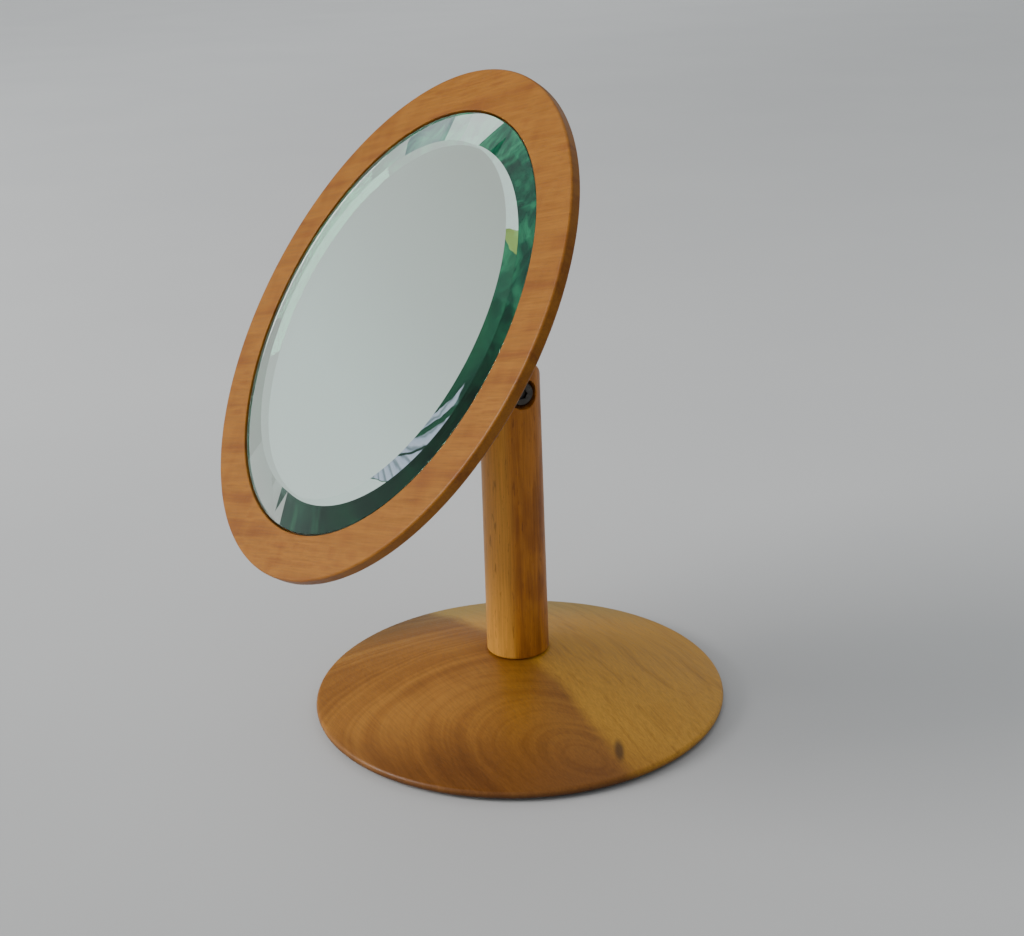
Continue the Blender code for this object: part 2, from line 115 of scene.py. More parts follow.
def eased(corners, closed=False, step=15.0):
    """A profile whose corners (radius, height, ease[, flats[, thread]]) are rounded.

    Each corner with an ease becomes an arc tangent to both its sides, a point every few
    degrees, with one more point a little way along each side to keep the flats flat in the
    shading; flats is 1 on a hexagon and 0 on a circle, thread is the depth of a screw thread.
    """
    rows = np.array([tuple(c) + (0.0,) * (5 - len(c)) for c in corners])
    profile = []
    count = len(rows)
    for i, row in enumerate(rows):
        here, ease, marks = row[:2], row[2], row[3:]
        if ease <= 0 or (not closed and i in (0, count - 1)):
            profile.append([*here, *marks])
            continue
        back = rows[i - 1][:2] - here
        ahead = rows[(i + 1) % count][:2] - here
        back_length, ahead_length = np.hypot(*back), np.hypot(*ahead)
        back, ahead = back / back_length, ahead / ahead_length
        half = math.acos(np.clip(back @ ahead, -1.0, 1.0)) / 2
        run = min(ease / math.tan(half), 0.49 * back_length, 0.49 * ahead_length)
        radius = run * math.tan(half)
        split = back + ahead
        centre = here + split / np.hypot(*split) * radius / math.sin(half)
        first = np.arctan2(*(here + back * run - centre)[::-1])
        last = np.arctan2(*(here + ahead * run - centre)[::-1])
        sweep = (last - first + math.pi) % TURN - math.pi
        steps = max(2, round(abs(math.degrees(sweep)) / step))
        angles = first + sweep * np.arange(steps + 1) / steps
        hold = 1.4 * run
        if hold < 0.5 * back_length:
            profile.append([*(here + hold * back), *marks])
        for angle in angles:
            profile.append([centre[0] + radius * math.cos(angle),
                            centre[1] + radius * math.sin(angle), *marks])
        if hold < 0.5 * ahead_length:
            profile.append([*(here + hold * ahead), *marks])
    return np.array(profile)


def lathe(name, profile, axes=STAND_AXES, origin=TABLE, closed=False, segments=192, pitch=MM):
    """A profile turned round the piece's z axis, its outer side drawn from top to bottom.

    Point (i, j): radius_i times the reach of a hexagon or circle at angle_j, less a thread
    whose depth is a triangle wave of height / pitch - turns. Rings of no radius are poles.
    """
    profile = np.asarray(profile, float)
    if profile.shape[1] < 4:
        profile = np.hstack([profile, np.zeros((len(profile), 4 - profile.shape[1]))])
    radius, height, flats, thread = profile.T
    angle = TURN * np.arange(segments) / segments
    sixth = (angle + TURN / 12) % (TURN / 6) - TURN / 12
    reach = 1 + flats[:, None] * (1 / np.cos(sixth) - 1)
    wave = (height[:, None] / pitch - angle / TURN) % 1.0
    groove = thread[:, None] * np.abs(2 * wave - 1)
    spread = radius[:, None] * reach - groove
    points = np.stack([spread * np.cos(angle), spread * np.sin(angle),
                       np.broadcast_to(height[:, None], spread.shape)], -1)
    rings = len(profile)
    index = np.arange(rings * segments).reshape(rings, segments)
    poles = radius < 1e-9
    index[poles] = index[poles][:, :1]
    if closed:
        index = np.vstack([index, index[:1]])
    a, b = index[:-1], index[1:]
    a_next, b_next = np.roll(a, -1, 1), np.roll(b, -1, 1)
    faces = np.stack([a, b, b_next, a_next], -1).reshape(-1, 4)
    top_pole = faces[:, 0] == faces[:, 3]
    low_pole = faces[:, 1] == faces[:, 2]
    quads = faces[~top_pole & ~low_pole]
    triangles = np.vstack([faces[top_pole & ~low_pole][:, [0, 1, 2]],
                           faces[low_pole & ~top_pole][:, [0, 1, 3]]])
    used, tidy = np.unique(np.concatenate([quads.ravel(), triangles.ravel()]),
                           return_inverse=True)
    tidy = tidy.ravel()
    quads = tidy[:quads.size].reshape(-1, 4)
    triangles = tidy[quads.size:].reshape(-1, 3)
    points = placed(points.reshape(-1, 3)[used], axes, origin)
    return mesh_piece(name, points, quads, triangles)


def meet(first, second, ease):
    """Field of what two solids share, their edge rounded to the ease's radius."""
    corner = np.hypot(np.maximum(first + ease, 0), np.maximum(second + ease, 0))
    return np.minimum(-ease, np.maximum(first, second)) + corner


def pare(solid, cutter, ease):
    """Field of a solid less a cutter, with the cut's edges rounded."""
    return meet(solid, -cutter, ease)


def carved(name, field, steps, axes=STAND_AXES, origin=TABLE):
    """The closed surface where a field of (x, y, z) is nought, on a grid of uneven steps.

    A point stands in each cell that the surface crosses, at the mean of the cell's edge
    crossings, and slides down the field's slope onto the surface. A face joins the four cells
    round each grid edge whose two ends lie on opposite sides.
    """
    grid = np.stack(np.meshgrid(*steps, indexing="ij"), -1)
    value = field(grid)
    inside = value < 0
    cells = tuple(n - 1 for n in value.shape)
    total, hits = np.zeros(cells + (3,)), np.zeros(cells)
    crossings = []
    for axis in range(3):
        low = tuple(slice(0, -1) if a == axis else slice(None) for a in range(3))
        high = tuple(slice(1, None) if a == axis else slice(None) for a in range(3))
        crossing = inside[low] != inside[high]
        gap = np.where(crossing, value[low] - value[high], 1.0)
        share = np.where(crossing, value[low] / gap, 0.0)[..., None]
        place = (grid[low] + share * (grid[high] - grid[low])) * crossing[..., None]
        others = [a for a in range(3) if a != axis]
        for corner in ((0, 0), (0, 1), (1, 0), (1, 1)):
            part = [slice(0, n) for n in cells]
            for other, shift in zip(others, corner):
                part[other] = slice(shift, cells[other] + shift)
            total += place[tuple(part)]
            hits += crossing[tuple(part)]
        crossings.append(crossing)
    used = hits > 0
    number = np.full(cells, -1)
    number[used] = np.arange(used.sum())
    points = total[used] / hits[used][:, None]

    nudge = 1e-6
    for _ in range(4):
        here = field(points)
        slope = np.stack([(field(points + nudge * axis) - field(points - nudge * axis))
                          for axis in np.eye(3)], -1) / (2 * nudge)
        move = -here[:, None] * slope / np.maximum((slope ** 2).sum(-1, keepdims=True), 0.1)
        points += np.clip(move, -0.25 * MM, 0.25 * MM)

    faces = []
    for axis, crossing in enumerate(crossings):
        a, b = [other for other in range(3) if other != axis]
        core = [slice(None)] * 3
        core[a] = core[b] = slice(1, -1)
        at = np.argwhere(crossing[tuple(core)])
        at[:, [a, b]] += 1
        ring = []
        for back_a, back_b in ((1, 1), (0, 1), (0, 0), (1, 0)):
            cell = at.copy()
            cell[:, a] -= back_a
            cell[:, b] -= back_b
            ring.append(number[tuple(cell.T)])
        quad = np.stack(ring, -1)
        outward = inside[tuple(at.T)] ^ (axis == 1)
        faces.append(np.where(outward[:, None], quad, quad[:, ::-1]))
    return mesh_piece(name, placed(points, axes, origin), np.vstack(faces),
                      np.zeros((0, 3), int))


# ---- sizes of the joinery --------------------------------------------------------------------
TENON_GAP = 0.3 * MM
SCREW_HOLE = 2.3 * MM
SCREW_HEAD_HOLE = 4.5 * MM
BORE = 3.3 * MM
WASHER_HOLE = 3.3 * MM
SLOT_HALF = 4.6 * MM
COUNTERBORE_FLOOR = 7.8 * MM


def make_base():
    """Shallow cone with a thin rounded rim, a landing and mortise for the post, and its felt."""
    landing, mortise = 16.1 * MM, 10.3 * MM
    mortise_floor = BASE_HIGH - 16.0 * MM
    rim_low, rim_ease = BASE_LOW, 1.95 * MM
    corners = [(mortise, BASE_HIGH, 0.3 * MM), (landing, BASE_HIGH, 1.5 * MM),
               (BASE_RADIUS, BASE_LOW + 3.55 * MM, rim_ease), (BASE_RADIUS, rim_low, rim_ease),
               (SCREW_HEAD_HOLE, rim_low, 0.0), (SCREW_HEAD_HOLE, rim_low + 0.5 * MM, 0.0),
               (SCREW_HOLE, rim_low + 3.2 * MM, 0.0), (SCREW_HOLE, mortise_floor, 0.0),
               (mortise, mortise_floor, 0.0)]
    base = lathe("turned_base", eased(corners, closed=True), closed=True, segments=360)
    felt_ease = 0.35 * MM
    corners = [(0.0, FELT_HIGH, 0.0), (FELT_RADIUS, FELT_HIGH, felt_ease),
               (FELT_RADIUS, 0.0, felt_ease), (0.0, 0.0, 0.0)]
    felt = lathe("baize_disc", eased(corners), segments=240)
    return base, felt


def post_field(at):
    """Tapered round post with an eased foot, a tenon, a forked round-eared top and its bores."""
    x, y, z = at[..., 0], at[..., 1], at[..., 2]
    from_axis = np.hypot(x, y)
    shoulder = BASE_HIGH + TENON_GAP
    foot, narrowing = 15.1, 0.8                 # radius at the foot, and its loss to the bolt
    taper = np.clip((z - shoulder) / (PIVOT[2] - shoulder), 0.0, 1.0)
    side = from_axis - (foot - narrowing * taper) * MM
    rise, drop = np.maximum(z - PIVOT[2], 0), np.maximum(PIVOT[2] - z, 0)
    ears = np.hypot(y, rise) - EAR_RADIUS - 0.03 * drop
    solid = meet(meet(side, ears, 0.8 * MM), shoulder - z, 1.2 * MM)
    tenon_radius, pilot_top = 10.0 * MM, 34.3 * MM
    tenon = np.maximum(from_axis - tenon_radius, np.maximum(POST_LOW - z, z - shoulder - 2 * MM))
    solid = np.minimum(solid, tenon)
    pilot = np.maximum(from_axis - SCREW_HOLE, z - pilot_top)
    solid = np.maximum(solid, -pilot)
    slot_back, slot_depth = 10.0 * MM, 16.0 * MM
    slot = np.maximum(np.maximum(np.abs(x) - SLOT_HALF, y - slot_back),
                      PIVOT[2] - slot_depth - z)
    solid = pare(solid, slot, 0.6 * MM)
    from_bolt = np.hypot(y, z - PIVOT[2])
    solid = pare(solid, from_bolt - BORE, 0.2 * MM)
    for side_sign, radius in ((1, 7.0 * MM), (-1, 6.97 * MM)):
        counterbore = np.maximum(from_bolt - radius, COUNTERBORE_FLOOR - side_sign * x)
        solid = pare(solid, counterbore, 0.3 * MM)
    return solid


def runs(*stretches):
    """Grid lines from stretches of (start, end, spacing), each stretch evenly spaced."""
    parts = [np.linspace(start, end, max(2, round((end - start) / spacing) + 1))[:-1]
             for start, end, spacing in stretches]
    return np.concatenate(parts + [[stretches[-1][1]]])


def make_post():
    """Where post_field is nought: cylinder and ears in common, plus tenon, less slot and bores.

    The grid is finest at the foot and round the fork.
    """
    across = runs((-16.6 * MM, 16.6 * MM, 0.52 * MM))
    shoulder = BASE_HIGH + TENON_GAP
    fork = PIVOT[2] - 18 * MM
    up = runs((POST_LOW - 0.8 * MM, shoulder - 1 * MM, 1.1 * MM),
              (shoulder - 1 * MM, shoulder + 3 * MM, 0.45 * MM),
              (shoulder + 3 * MM, fork, 4.0 * MM), (fork, POST_HIGH + 1 * MM, 0.5 * MM))
    return carved("forked_post", post_field, (across, across, up))


STEM_RADIUS = 14.0 * MM
STEM_SHOULDER = 17.7 * MM
FRAME_FACE = 77.0 * MM          # bolt axis to the wooden face of the head
RIM_THICKNESS = 5.0 * MM
BACK_RISE = 21.0 * MM
BACK_MIDDLE = FRAME_FACE - RIM_THICKNESS - BACK_RISE
RECESS_FLOOR = FRAME_FACE - 6.3 * MM
STEM_MORTISE_END = BACK_MIDDLE + 9.0 * MM
SWELL_POWER = 1.6               # how the head's back swells from its rim to its middle
GLASS_PROUD = 1.8 * MM
GLASS_THICKNESS = 6.0 * MM
BEVEL_WIDTH = 15.0 * MM
BEVEL_FALL = 2.6 * MM


def stem_field(at):
    """Round stem with an eased end, a tenon into the head and a thin round-ended tongue."""
    x, y, z = at[..., 0], at[..., 1], at[..., 2]
    from_axis = np.hypot(x, y)
    top = BACK_MIDDLE - TENON_GAP
    solid = meet(from_axis - STEM_RADIUS, STEM_SHOULDER - z, 2.2 * MM)
    solid = np.maximum(solid, z - top)
    tenon = np.maximum(from_axis - 9.0 * MM,
                       np.maximum(top - 2 * MM - z, z - STEM_MORTISE_END + TENON_GAP))
    tongue_reach, tongue_half = 9.5 * MM, 3.5 * MM
    outline = np.where(z > 0, np.abs(y), np.hypot(y, z)) - tongue_reach
    tongue = meet(np.abs(x) - tongue_half, outline, 0.4 * MM)
    tongue = np.maximum(tongue, z - STEM_SHOULDER - 8 * MM)
    solid = np.minimum(np.minimum(solid, tenon), tongue)
    solid = pare(solid, np.hypot(y, z) - BORE, 0.2 * MM)
    pilot = np.maximum(from_axis - SCREW_HOLE, RECESS_FLOOR - 28.8 * MM - z)
    return np.maximum(solid, -pilot)


def make_stem():
    """Where stem_field is nought: cylinder, tenon and tongue together, less bolt hole and pilot.

    The grid is finest round the tongue.
    """
    across = runs((-15.3 * MM, 15.3 * MM, 0.5 * MM))
    up = runs((-10.3 * MM, STEM_SHOULDER + 3 * MM, 0.5 * MM),
              (STEM_SHOULDER + 3 * MM, STEM_MORTISE_END + 1 * MM, 1.1 * MM))
    return carved("tilting_stem", stem_field, (across, across, up), HEAD_AXES, PIVOT)


def make_frame():
    """Turned head: recess, flat face, thin eased rim and a swelling back.

    Height of the back = rim - rise * (1 - (radius / frame radius) ^ swell power).
    """
    recess = GLASS_RADIUS + 0.8 * MM
    mortise, landing = 9.3 * MM, STEM_RADIUS + 1.0 * MM
    rim_back = FRAME_FACE - RIM_THICKNESS
    swell_rows = 44
    radius = np.linspace(FRAME_RADIUS - 2.0 * MM, landing, swell_rows)
    height = rim_back - BACK_RISE * (1 - (radius / FRAME_RADIUS) ** SWELL_POWER)
    front = [(recess, RECESS_FLOOR, 0.3 * MM), (recess, FRAME_FACE, 0.45 * MM),
             (FRAME_RADIUS, FRAME_FACE, 1.1 * MM), (FRAME_RADIUS, rim_back, 1.3 * MM),
             (radius[0], height[0], 0.0)]
    back = [(landing, BACK_MIDDLE, 0.0), (mortise, BACK_MIDDLE, 0.0),
            (mortise, STEM_MORTISE_END, 0.0), (SCREW_HOLE, STEM_MORTISE_END, 0.0),
            (SCREW_HOLE, RECESS_FLOOR - 3.2 * MM, 0.0),
            (SCREW_HEAD_HOLE, RECESS_FLOOR - 0.5 * MM, 0.0), (SCREW_HEAD_HOLE, RECESS_FLOOR, 0.0)]
    profile = np.vstack([eased(front), np.pad(np.stack([radius, height], -1)[1:], ((0, 0), (0, 2))),
                         eased(back)])
    return lathe("turned_frame", profile, HEAD_AXES, PIVOT, closed=True, segments=360)


def make_glass():
    """Round plate with a wide polished bevel and a seamed edge; its back face is silvered."""
    face = FRAME_FACE + GLASS_PROUD
    back = face - GLASS_THICKNESS
    corners = [(0.0, face, 0.0), (GLASS_RADIUS - BEVEL_WIDTH, face, 0.5 * MM),
               (GLASS_RADIUS, face - BEVEL_FALL, 0.35 * MM), (GLASS_RADIUS, back, 0.3 * MM),
               (0.0, back, 0.0)]
    glass = lathe("bevelled_glass", eased(corners, step=9.0), HEAD_AXES, PIVOT, segments=360)
    radius = half_width("mirror_silvering")
    coat_face = back - 0.3 * MM
    coat_back = coat_face - 0.4 * MM
    corners = [(0.0, coat_face, 0.0), (radius, coat_face, 0.1 * MM),
               (radius, coat_back, 0.1 * MM), (0.0, coat_back, 0.0)]
    coat = lathe("silver_backing", eased(corners), HEAD_AXES, PIVOT, segments=240)
    return glass, coat


def make_pads():
    """Four soft discs of adhesive, each with a slightly bulged side."""
    pads = []
    for number in range(1, 5):
        node = f"adhesive_pad_{number}"
        along = (middle(node) - PIVOT) @ HEAD_AXES.T
        radius = half_width(node)
        top, low = along[2] + 0.4 * MM, along[2] - 0.4 * MM
        corners = [(0.0, top, 0.0), (radius - 0.2 * MM, top, 0.2 * MM), (radius, along[2], 0.3 * MM),
                   (radius - 0.2 * MM, low, 0.2 * MM), (0.0, low, 0.0)]
        place = PIVOT + along[0] * ACROSS + along[1] * UPHILL
        pad = lathe(f"mastic_pad_{number}", eased(corners), HEAD_AXES, place, segments=96)
        pads.append((pad, node))
    return pads


def threaded(radius, start, end, depth, per_turn, pitch=MM):
    """Profile rows of a screw thread from start to end, running out at both its ends."""
    height = np.linspace(start, end, max(2, round(abs(end - start) / pitch * per_turn)))
    travel = np.abs(height - start)
    fade = np.clip(np.minimum(travel, np.abs(height - end)) / pitch, 0, 1)
    rows = np.zeros((len(height), 4))
    rows[:, 0], rows[:, 1], rows[:, 3] = radius, height, depth * fade
    return rows


def ring(name, inner, outer, low, high, ease, cone=0.0):
    """A washer on the bolt's axis; a cone lifts its inner edge by that much."""
    corners = [(inner, high + cone, ease), (outer, high, ease), (outer, low, ease),
               (inner, low + cone, ease)]
    return lathe(name, eased(corners, closed=True, step=30), BOLT_AXES, PIVOT, closed=True,
                 segments=128)


def make_bolt():
    """Cap bolt with a hexagon socket and a rolled thread, nut, washers and disc spring."""
    head_top, head_low, shank_end = 12.6 * MM, 9.2 * MM, -14.1 * MM
    flats = 2.3 * MM
    head = eased([(0.0, head_top - 2.2 * MM, 0.0, 1.0), (flats, head_top - 1.9 * MM, 0.1 * MM, 1.0),
                  (flats, head_top - 0.25 * MM, 0.0, 1.0), (flats + 0.55 * MM, head_top, 0.0),
                  (5.7 * MM, head_top, 0.9 * MM), (5.7 * MM, head_low, 0.25 * MM),
                  (3.0 * MM, head_low, 0.0)], step=10)
    head = head[:, :4]
    shank = threaded(3.0 * MM, -5.0 * MM, shank_end + 0.5 * MM, 0.55 * MM, 10)
    tip = np.array([(2.5 * MM, shank_end, 0.0, 0.0), (0.0, shank_end, 0.0, 0.0)])
    bolt = lathe("cap_bolt", np.vstack([head, shank, tip]), BOLT_AXES, PIVOT, segments=144)

    inner, outer = WASHER_HOLE, 6.2 * MM
    head_washer = ring("bright_washer", inner, outer, 8.1 * MM, 8.9 * MM, 0.18 * MM)
    nut_washer = ring("far_washer", inner, outer, -8.9 * MM, -8.1 * MM, 0.18 * MM)
    spring = ring("dished_spring", inner, outer, -9.8 * MM, -9.2 * MM, 0.12 * MM,
                  cone=-0.3 * MM)
    top, low, apothem, hole = -10.4 * MM, -13.6 * MM, 5.0 * MM, 3.1 * MM
    corners = [(hole, top - 0.3 * MM, 0.0), (hole + 0.35 * MM, top, 0.0), (4.75 * MM, top, 0.0),
               (5.02 * MM, top - 0.14 * MM, 0.0, 0.25), (5.01 * MM, top - 0.32 * MM, 0.0, 0.62),
               (apothem, top - 0.52 * MM, 0.0, 1.0), (apothem, low + 0.52 * MM, 0.0, 1.0),
               (5.01 * MM, low + 0.32 * MM, 0.0, 0.62), (5.02 * MM, low + 0.14 * MM, 0.0, 0.25),
               (4.75 * MM, low, 0.0), (hole + 0.35 * MM, low, 0.0), (hole, low + 0.3 * MM, 0.0)]
    nut = lathe("hex_nut", eased(corners)[:, :4], BOLT_AXES, PIVOT, closed=True, segments=144)
    return bolt, head_washer, nut_washer, spring, nut


def make_friction_washer(side):
    """Thin flat washer between the tongue and the fork's cheek, on the side 1 or -1."""
    near, far = sorted((side * 3.8 * MM, side * 4.3 * MM))
    name = "right_friction_washer" if side > 0 else "left_friction_washer"
    return ring(name, WASHER_HOLE, 8.5 * MM, near, far, 0.1 * MM)


def make_wood_screw(name, length, axes, origin):
    """Countersunk screw: hexagon socket, flat head, tapered shank and a coarse sharp thread."""
    flats, head, shank, pitch = 1.25 * MM, 4.2 * MM, 2.0 * MM, 1.6 * MM
    top = eased([(0.0, -1.6 * MM, 0.0, 1.0), (flats, -1.4 * MM, 0.0, 1.0),
                 (flats, 0.0, 0.0, 1.0), (head, 0.0, 0.12 * MM), (head - 0.1 * MM, -0.3 * MM, 0.0),
                 (shank, -2.4 * MM, 0.4 * MM), (shank, -7.0 * MM, 0.0)])[:, :4]
    body = threaded(shank, -7.1 * MM, 4.0 * MM - length, 0.6 * MM, 8, pitch)
    taper = threaded(shank, 3.9 * MM - length, -length, 0.0, 8, pitch)
    taper[:, 0] = shank * (taper[:, 1] + length) / (3.9 * MM)
    taper[-1, 0] = 0.0
    return lathe(name, np.vstack([top, body, taper]), axes, origin, segments=96, pitch=pitch)


# ---- finishes --------------------------------------------------------------------------------
class Finish:
    """A node material under construction. Each method adds a node and returns its output."""

    def __init__(self, name):
        """Starts a material with the usual shader."""
        self.material = bpy.data.materials.new(name)
        self.material.use_nodes = True
        self.nodes = self.material.node_tree.nodes
        self.links = self.material.node_tree.links
        self.shader = self.nodes["Principled BSDF"]

    def add(self, kind, sockets, output=0, **settings):
        """Adds a node of a kind, sets or links its sockets, and returns one output."""
        node = self.nodes.new(kind)
        for setting, value in settings.items():
            setattr(node, setting, value)
        for socket, value in sockets.items():
            self.feed(node.inputs[socket], value)
        return node.outputs[output]

    def feed(self, socket, value):
        """Links a socket to another node's output, or sets it to a plain value."""
        if isinstance(value, bpy.types.NodeSocket):
            self.links.new(value, socket)
        else:
            socket.default_value = value

    def surface(self, **sockets):
        """Sets sockets of the shader, an underscore standing for each space in a name."""
        for name, value in sockets.items():
            self.feed(self.shader.inputs[name.replace("_", " ")], value)

    def place(self, axes=STAND_AXES, origin=TABLE):
        """Object coordinates, measured from an origin along a piece's own axes."""
        turn = Matrix(axes.tolist()).to_euler("XYZ")
        shift = -(axes @ origin)
        at = self.add("ShaderNodeTexCoord", {}, output="Object")
        return self.add("ShaderNodeMapping", {0: at, "Rotation": turn, "Location": shift})

    def stretched(self, at, scale, turn=0.0):
        """Coordinates scaled along each axis, per millimetre, after a turn about z in degrees."""
        if turn:
            at = self.add("ShaderNodeMapping", {0: at, "Rotation": (0, 0, math.radians(turn))})
        return self.add("ShaderNodeMapping", {0: at, "Scale": tuple(s / MM for s in scale)})

    def noise(self, at, detail=2.0, roughness=0.5, distortion=0.0, output=0):
        """Soft unevenness from 0 to 1, with lumps about one unit of the coordinates across."""
        return self.add("ShaderNodeTexNoise", {"Vector": at, "Scale": 1.0, "Detail": detail,
                                               "Roughness": roughness, "Distortion": distortion},
                        output=output)

    def reckon(self, operation, first, second=0.0):
        """Arithmetic on two values."""
        return self.add("ShaderNodeMath", {0: first, 1: second}, operation=operation)

    def length(self, at):
        """Distance of the coordinates from nought."""
        return self.add("ShaderNodeVectorMath", {0: at}, output="Value", operation="LENGTH")

    def toward(self, at, heading):
        """How far the coordinates lie along a heading."""
        return self.add("ShaderNodeVectorMath", {0: at, 1: heading}, output="Value",
                        operation="DOT_PRODUCT")

    def part(self, at, axis):
        """One of the coordinates, by its letter."""
        return self.add("ShaderNodeSeparateXYZ", {0: at}, output=axis)

    def blend(self, first, second, share):
        """Share of the second value with the rest of the first, both scaled before they add."""
        return self.reckon("ADD", self.reckon("MULTIPLY", first, 1 - share),
                           self.reckon("MULTIPLY", second, share))

    def between(self, value, low, high, start=0.0, end=1.0):
        """A value eased from start to end as it goes from low to high."""
        return self.add("ShaderNodeMapRange", {0: value, 1: low, 2: high, 3: start, 4: end},
                        interpolation_type="SMOOTHSTEP")

    def ramp(self, value, stops):
        """A colour for a value, from stops of (value, colour)."""
        colour = self.add("ShaderNodeValToRGB", {0: value})
        points = colour.node.color_ramp.elements
        while len(points) < len(stops):
            points.new(0.5)
        for point, (position, tint) in zip(points, stops):
            point.position = position
            point.color = (*tint, 1.0)
        return colour

    def mix(self, share, first, second, blend="MIX"):
        """Two colours mixed, or the second multiplied in, by a share from 0 to 1."""
        node = self.nodes.new("ShaderNodeMix")
        node.data_type = "RGBA"
        node.blend_type = blend
        self.feed(node.inputs[0], share)
        for socket, colour in ((6, first), (7, second)):
            self.feed(node.inputs[socket], (*colour, 1.0) if isinstance(colour, tuple) else colour)
        return node.outputs[2]

    def relief(self, height, depth):
        """Bump of a height from 0 to 1, that many metres deep."""
        return self.add("ShaderNodeBump", {"Height": height, "Distance": depth, "Strength": 1.0})

    def on(self, *objects):
        """Puts the material on pieces."""
        for piece in objects:
            piece.data.materials.append(self.material)


def fine_grain(finish, along):
    """Fibre lines and short pores that run along the first axis: (fibre, pore), each 0 to 1."""
    fibre = finish.noise(finish.stretched(along, (0.035, 1.5, 1.5)), detail=3.0, roughness=0.6)
    pore_seed = finish.noise(finish.stretched(along, (0.35, 4.0, 4.0)), detail=1.0)
    pore = finish.between(pore_seed, 0.66, 0.76)
    return fibre, pore


def oiled(finish, colour, fibre, pore):
    """Finishes a wood: fibres tint it, pores darken it, both show a little in relief."""
    tint = finish.between(fibre, 0.3, 0.7, 0.86, 1.10)
    colour = finish.mix(1.0, colour, finish.add("ShaderNodeCombineColor", {0: tint, 1: tint,
                                                                           2: tint}), "MULTIPLY")
    colour = finish.mix(finish.reckon("MULTIPLY", pore, 0.45), colour, (0.10, 0.034, 0.006))
    sheen = 0.32
    rough = finish.between(fibre, 0.3, 0.7, sheen + 0.05, sheen + 0.16)
    height = finish.reckon("SUBTRACT", finish.reckon("MULTIPLY", fibre, 0.35), pore)
    finish.surface(Base_Color=colour, Roughness=rough, Normal=finish.relief(height, 0.03 * MM))
    finish.surface(Coat_Weight=0.06, Coat_Roughness=0.22, Specular_IOR_Level=0.22)
    return finish


def frame_wood():
    """Pale even fruitwood: soft growth bands, cross mottle, fine grain, all across the head."""
    finish = Finish("frame_fruitwood")
    along = finish.add("ShaderNodeMapping", {0: finish.place(HEAD_AXES, PIVOT),
                                             "Rotation": (0.10, 0.06, math.radians(-17))})
    fibre, pore = fine_grain(finish, along)
    bands = finish.noise(finish.stretched(along, (0.006, 0.16, 0.10)), detail=4.0, roughness=0.55,
                         distortion=0.5)
    mottle = finish.noise(finish.stretched(along, (0.085, 0.035, 0.05)), detail=3.0)
    blend = finish.blend(bands, mottle, 0.38)
    colour = finish.ramp(blend, [(0.36, (0.195, 0.059, 0.003)), (0.47, (0.240, 0.083, 0.004)),
                                 (0.56, (0.272, 0.100, 0.006)), (0.66, (0.215, 0.068, 0.003))])
    return oiled(finish, colour, fibre, pore)


def post_wood(name, axes, origin):
    """Straight grain along the piece, with browner streaks and dark flecks; painted light makes one
    side paler.
    """
    finish = Finish(name)
    upright = np.array([axes[2], axes[0], axes[1]])
    along = finish.place(upright, origin)
    fibre, pore = fine_grain(finish, along)
    streak = finish.noise(finish.stretched(along, (0.010, 0.20, 0.20)), detail=4.0,
                          roughness=0.6, distortion=0.8)
    mottle = finish.noise(finish.stretched(along, (0.045, 0.09, 0.09)), detail=3.0)
    blend = finish.blend(streak, mottle, 0.4)
    colour = finish.ramp(blend, [(0.34, (0.25, 0.076, 0.007)), (0.45, (0.36, 0.120, 0.012)),
                                 (0.54, (0.46, 0.166, 0.018)), (0.66, (0.37, 0.124, 0.012))])
    # Painted light: one side, with a wavering edge, is painted paler as if lit by the window.
    outward = finish.toward(along, (0.0, 0.26, -0.97))
    waver = finish.noise(finish.stretched(along, (0.012, 0.05, 0.05)), detail=2.0)
    edge = finish.reckon("ADD", outward, finish.reckon("MULTIPLY", waver, 6 * MM))
    painted_lit_side = finish.between(edge, 12 * MM, 16 * MM)
    colour = finish.mix(finish.reckon("MULTIPLY", painted_lit_side, 0.85), colour, (0.66, 0.305, 0.045))
    fleck_seed = finish.noise(finish.stretched(along, (0.10, 0.55, 0.55)), detail=2.0,
                              roughness=0.6)
    fleck = finish.between(fleck_seed, 0.60, 0.72)
    colour = finish.mix(finish.reckon("MULTIPLY", fleck, 0.5), colour, (0.13, 0.038, 0.005))
    return oiled(finish, colour, fibre, pore)


